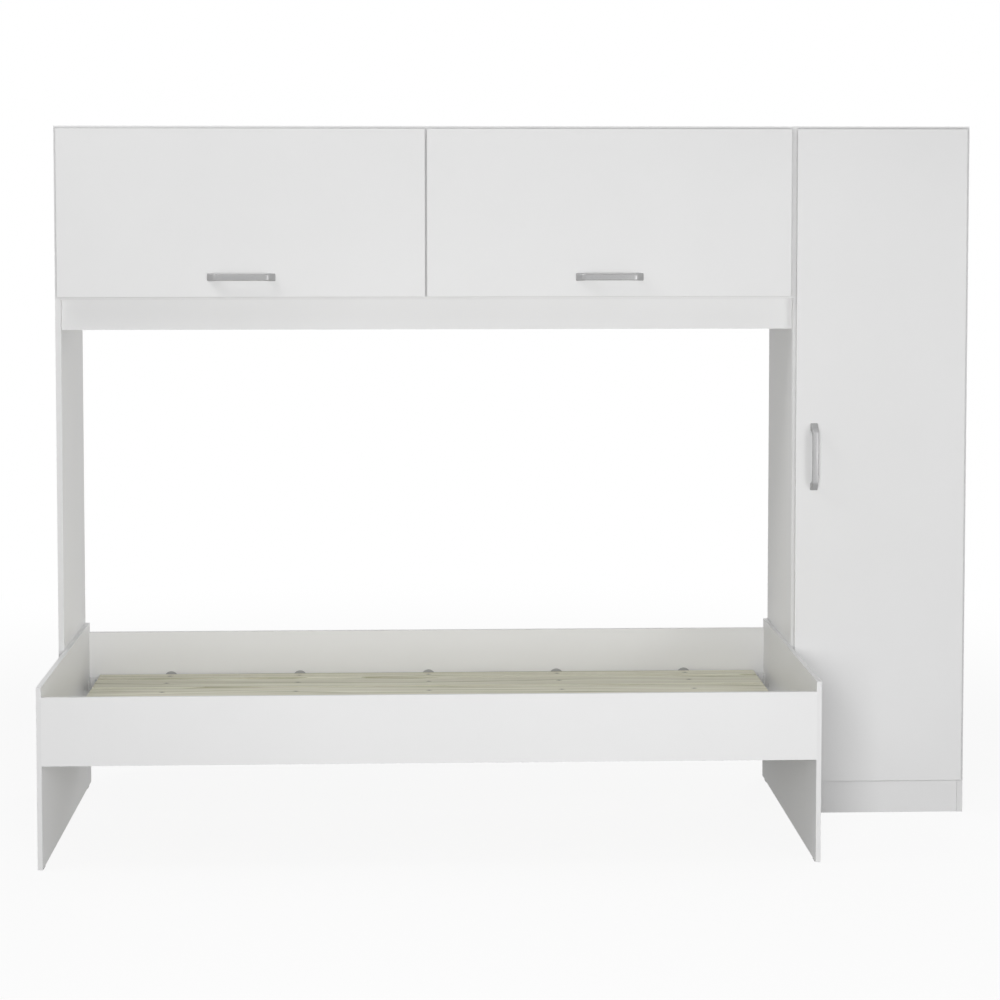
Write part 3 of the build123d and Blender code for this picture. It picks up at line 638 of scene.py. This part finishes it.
def fastenerGroup(name, group, finish):
    # all fasteners of one size: nails, bolts with a head at both ends, domed or flat screws
    sample = group[0]
    radius, length, head = sample["headRadius"], sample["length"], sample["head"]
    bolt, nail = sample["bolt"], name.startswith("deck_nails")
    small = head < fasteners["raisedHead"] and radius < fasteners["raisedRadius"]
    raised = small and not bolt and not nail
    recess = None if nail else crossOutline if raised else socketOutline
    reach = length / 2 if bolt else length - head if raised else length
    lift = -fasteners["proudNail"] if nail else head if raised else 0.0
    pattern = headMesh(name, radius, head, sample["shank"], reach, recess, raised)
    places = [item["start"] + item["aim"] * lift for item in group]
    aims = [item["aim"] for item in group]
    if bolt:
        places += [item["start"] + item["aim"] * item["length"] for item in group]
        aims += [-item["aim"] for item in group]
    holder = bpy.data.objects.new(name + "Pattern", pattern)
    points = pointMesh(name + "Points", places, {"aim": aims})
    mesh = runTree(name, points, setTree, {"Fastener": holder, "Finish": finishes[finish]})
    bpy.data.objects.remove(holder)
    return mesh


def setFasteners(node, finish):
    kinds = {}
    for corners in islands(node):
        found = measureFastener(corners)
        key = tuple(round(found[size] / fasteners["kindStep"]) for size in ("headRadius", "length"))
        kinds.setdefault(key, []).append(found)
    meshes = []
    for index, group in enumerate(kinds.values()):
        meshes.append(fastenerGroup(f"{node}Kind{index}", group, finish))
    joined = bmesh.new()
    for mesh in meshes:
        joined.from_mesh(mesh)
    whole = bpy.data.meshes.new(node + "Set")
    joined.to_mesh(whole)
    joined.free()
    whole.materials.append(finishes[finish])
    placePiece(whole, node + "Set", bodyOf[node], slotOf[node], node)


setTree = fastenerTree()
fastenerFinish = {
    "bridge_screws": "zinc", "flap_screws_left": "zinc", "flap_screws_right": "zinc",
    "wardrobe_door_screws": "zinc", "wardrobe_screws": "zinc", "bed_screws": "zinc",
    "joining_bolts": "zinc", "deck_nails": "nailSteel",
}
for fastenerNode, fastenerFinishName in fastenerFinish.items():
    setFasteners(fastenerNode, fastenerFinishName)
print("fasteners set:", len(fastenerFinish), "groups")


# Bow handles, lofted between an outer and an inner line

handle = {
    "leg": 0.018, "crown": 0.0025, "foot": 0.019, "innerLean": 0.009, "tip": 0.0025, "bar": 0.007,
    "waist": 0.016, "flare": 0.024, "flareGrowth": 1.15, "bend": 0.007, "bendShare": 0.45,
    "bendSteps": 6, "corner": 0.0022, "cornerShare": 0.9, "cornerSteps": 3, "stations": 72,
}


def roundedLine(points, radius):
    # a polyline with its inner corners rounded
    steps, most = handle["bendSteps"], handle["bendShare"]
    line = [points[0]]
    for before, corner, after in zip(points, points[1:], points[2:]):
        back, ahead = (before - corner), (after - corner)
        reach = min(radius, back.length * most, ahead.length * most)
        first, last = corner + back.normalized() * reach, corner + ahead.normalized() * reach
        for i in range(steps + 1):
            t = i / steps
            line.append(first * (1 - t) ** 2 + corner * 2 * t * (1 - t) + last * t ** 2)
    return line + [points[-1]]


def evenStations(line, count):
    lengths = [0.0]
    for first, second in zip(line, line[1:]):
        lengths.append(lengths[-1] + (second - first).length)
    stations = np.linspace(0, lengths[-1], count)
    xs = np.interp(stations, lengths, [p.x for p in line])
    ys = np.interp(stations, lengths, [p.y for p in line])
    return [Vector((x, y)) for x, y in zip(xs, ys)]


def bowLines(half, height):
    # along the handle and out from the door, outer line and inner line
    shoulder, foot = half - handle["leg"], half - handle["foot"]
    crook = foot - handle["innerLean"]
    arch = [-1, -0.5, 0, 0.5, 1]
    outer = [Vector((s * shoulder, height - handle["crown"] * s * s)) for s in arch]
    inner = [Vector((s * crook, height - handle["bar"] - handle["crown"] * s * s)) for s in arch]
    outer = [Vector((-half, 0)), Vector((-half, handle["tip"]))] + outer
    outer += [Vector((half, handle["tip"])), Vector((half, 0))]
    inner = [Vector((-foot, 0))] + inner + [Vector((foot, 0))]
    return roundedLine(outer, handle["bend"]), roundedLine(inner, handle["bend"])


def sectionCorners(radius, width, depth):
    # a rounded rectangle from its half width and half depth, anticlockwise
    corners = []
    steps, most = handle["cornerSteps"], handle["cornerShare"]
    radius = min(radius, width * most, depth * most)
    for cx, cy, start in ((1, 1, 0), (-1, 1, 90), (-1, -1, 180), (1, -1, 270)):
        for i in range(steps + 1):
            angle = math.radians(start + 90 * i / steps)
            x = cx * (width - radius) + radius * math.cos(angle)
            y = cy * (depth - radius) + radius * math.sin(angle)
            corners.append((x, y))
    return corners


def makeHandle(node):
    low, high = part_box(node)
    size, middle = high - low, (low + high) / 2
    upright = size.z > size.x
    half, height = max(size.x, size.z) / 2, size.y
    waist, wide = handle["waist"] / 2, min(size.x, size.z) / 2
    outerLine, innerLine = bowLines(half, height)
    outer = evenStations(outerLine, handle["stations"])
    inner = evenStations(innerLine, handle["stations"])
    shape = bmesh.new()
    loops = []
    for out, into in zip(outer, inner):
        centre, thick = (out + into) / 2, (out - into) / 2
        share = max(0.0, (abs(centre.x) - (half - handle["flare"])) / handle["flare"])
        width = waist + (wide - waist) * min(1.0, share * handle["flareGrowth"])
        loop = []
        for u, v in sectionCorners(handle["corner"], width, thick.length):
            flat = centre + thick.normalized() * v
            x, z = (flat.x, u) if not upright else (-u, flat.x)
            loop.append(shape.verts.new((middle.x + x, high.y - flat.y, middle.z + z)))
        loops.append(loop)
    for first, second in zip(loops, loops[1:]):
        for i in range(len(first)):
            shape.faces.new((first[i - 1], first[i], second[i], second[i - 1]))
    shape.faces.new(loops[0])
    shape.faces.new(loops[-1])
    bmesh.ops.recalc_face_normals(shape, faces=shape.faces)
    for face in shape.faces:
        face.smooth = len(face.verts) == 4
    mesh = bpy.data.meshes.new(node + "Bow")
    shape.to_mesh(mesh)
    shape.free()
    mesh.materials.append(finishes["satinSilver"])
    placePiece(mesh, node + "Bow", bodyOf[node], slotOf[node], node)


handleNodes = ("flap_handle_left", "flap_handle_right", "wardrobe_handle")
for handleNode in handleNodes:
    makeHandle(handleNode)
print("handles made:", len(handleNodes))


# Steel and plastic pieces, with their edges broken

hardware = {
    "flap_cups_left": ("nickel", 0.0002), "flap_cups_right": ("nickel", 0.0002),
    "wardrobe_cups": ("nickel", 0.0002), "flap_hinge_arms": ("nickel", 0.0005),
    "wardrobe_hinge_arms": ("nickel", 0.0005), "slat_brackets": ("greySteel", 0.0003),
    "bed_corner_brackets": ("whitePaint", 0.0003), "strut_cabinet_studs": ("zinc", 0.0002),
    "strut_door_stud_left": ("zinc", 0.0002), "strut_door_stud_right": ("zinc", 0.0002),
    "strut_barrel_left": ("strutPaint", 0.0005), "strut_barrel_right": ("strutPaint", 0.0005),
    "strut_rod_left": ("chrome", 0.0003), "strut_rod_right": ("chrome", 0.0003),
    "rail_sockets": ("chrome", 0.0003), "hanging_rail": ("chrome", 0.0002),
    "bed_glides": ("glidePlastic", 0.0005),
}


def makeHardware(node, finish, width):
    mesh = softened(node + "Piece", cleanCopy(node), width)
    mesh.materials.clear()
    mesh.materials.append(finishes[finish])
    for face in mesh.polygons:
        face.material_index = 0
    placePiece(mesh, node + "Piece", bodyOf[node], slotOf[node], node)


for hardwareNode, (finishName, breakWidth) in hardware.items():
    makeHardware(hardwareNode, finishName, breakWidth)
for backNode in ("bridge_back_left", "bridge_back_right", "wardrobe_back"):
    backObject = frame["nodes"][backNode]
    backObject.data.materials.clear()
    backObject.data.materials.append(finishes["paintedHardboard"])
print("hardware made:", len(hardware))


# Floor, light and camera

studio = {
    "floorSize": 30, "floorTone": 0.42, "shownTone": 0.9, "shadowShare": 0.10,
    "whiteStart": 1.8, "whiteEnd": 4.2, "ambient": 0.306, "lampSize": 1.4, "lampAim": (0, 0, 1.0),
    "mirrored": ("rightSoft", "topLeftSoft"),  # the lamps that gloss may show
}
lamps = {
    "frontSoft": ((-0.3, -4, 1.25), 76),
    "rightSoft": ((3.3, -4, 0.9), 38),
    "topLeftSoft": ((-2.5, -1, 4), 33),
    "backRightSoft": ((2.5, 4.5, 2.6), 48),
}
cameraSettings = {
    "place": (-0.2774, -6.3691, 1.6377), "tilt": 86.7214, "pan": -2.2103,
    "sensor": 36, "lens": 87.7475, "shift": (-0.0032, -0.16),
}


def makeFloor():
    mesh = bpy.data.meshes.new("studioFloor")
    half = studio["floorSize"] / 2
    corners = [(-half, -half, 0), (half, -half, 0), (half, half, 0), (-half, half, 0)]
    mesh.from_pydata(corners, [], [(0, 1, 2, 3)])
    floor = bpy.data.objects.new("studioFloor", mesh)
    bpy.context.scene.collection.objects.link(floor)
    material = bpy.data.materials.new("studioFloor")
    material.use_nodes = True
    tree = material.node_tree
    tree.nodes.clear()
    tone = studio["floorTone"]
    matte = addNode(tree, "ShaderNodeBsdfDiffuse", {"Color": (tone, tone, tone, 1)})
    white = addNode(tree, "ShaderNodeEmission", {"Strength": 1.0})
    shown = addNode(tree, "ShaderNodeBsdfDiffuse", {"Color": (*[studio["shownTone"]] * 3, 1)})
    shaded = addNode(tree, "ShaderNodeMixShader", {
        0: studio["shadowShare"], 1: white.outputs[0], 2: shown.outputs[0],
    })
    place = objectPlace(tree)
    reach = addNode(tree, "ShaderNodeVectorMath", {0: place}, operation="LENGTH").outputs["Value"]
    fade = addNode(tree, "ShaderNodeMapRange", {
        "Value": reach, "From Min": studio["whiteStart"], "From Max": studio["whiteEnd"],
    }, interpolation_type="SMOOTHSTEP").outputs["Result"]
    seen = addNode(tree, "ShaderNodeMixShader", {0: fade, 1: shaded.outputs[0], 2: white.outputs[0]})
    ray = addNode(tree, "ShaderNodeLightPath").outputs
    direct = addNode(tree, "ShaderNodeMath", {
        0: ray["Is Camera Ray"], 1: ray["Is Glossy Ray"],
    }, operation="MAXIMUM")
    mixed = addNode(tree, "ShaderNodeMixShader", {
        0: direct.outputs[0], 1: matte.outputs[0], 2: seen.outputs[0],
    })
    output = addNode(tree, "ShaderNodeOutputMaterial")
    tree.links.new(mixed.outputs[0], output.inputs["Surface"])
    mesh.materials.append(material)


def makeWorld():
    world = bpy.data.worlds.new("studioWorld")
    bpy.context.scene.world = world
    world.use_nodes = True
    tree = world.node_tree
    tree.nodes.clear()
    soft = addNode(tree, "ShaderNodeBackground", {"Color": (1, 1, 1, 1), "Strength": studio["ambient"]})
    white = addNode(tree, "ShaderNodeBackground", {"Color": (1, 1, 1, 1), "Strength": 1.0})
    ray = addNode(tree, "ShaderNodeLightPath").outputs
    direct = addNode(tree, "ShaderNodeMath", {
        0: ray["Is Camera Ray"], 1: ray["Is Glossy Ray"],
    }, operation="MAXIMUM")
    seen = addNode(tree, "ShaderNodeMath", {
        0: direct.outputs[0], 1: ray["Is Transmission Ray"],
    }, operation="MAXIMUM")
    mixed = addNode(tree, "ShaderNodeMixShader", {
        0: seen.outputs[0], 1: soft.outputs[0], 2: white.outputs[0],
    })
    output = addNode(tree, "ShaderNodeOutputWorld")
    tree.links.new(mixed.outputs[0], output.inputs["Surface"])


def makeLamp(name, place, power):
    lamp = bpy.data.lights.new(name, "AREA")
    lamp.size = studio["lampSize"]
    lamp.energy = power
    light = bpy.data.objects.new(name, lamp)
    bpy.context.scene.collection.objects.link(light)
    light.location = place
    light.visible_camera = False
    light.visible_glossy = name in studio["mirrored"]
    away = Vector(place) - Vector(studio["lampAim"])
    light.rotation_euler = away.to_track_quat("Z", "Y").to_euler()


def makeCamera():
    data = bpy.data.cameras.new("photoCamera")
    data.sensor_width = cameraSettings["sensor"]
    data.lens = cameraSettings["lens"]
    data.shift_x, data.shift_y = cameraSettings["shift"]
    camera = bpy.data.objects.new("photoCamera", data)
    bpy.context.scene.collection.objects.link(camera)
    camera.location = cameraSettings["place"]
    tilt, pan = math.radians(cameraSettings["tilt"]), math.radians(cameraSettings["pan"])
    camera.rotation_euler = (tilt, 0, pan)
    bpy.context.scene.camera = camera


makeFloor()
makeWorld()
for lampName, (lampPlace, lampPower) in lamps.items():
    makeLamp(lampName, lampPlace, lampPower)
makeCamera()
bpy.context.scene.view_settings.view_transform = "Standard"
print("studio set")
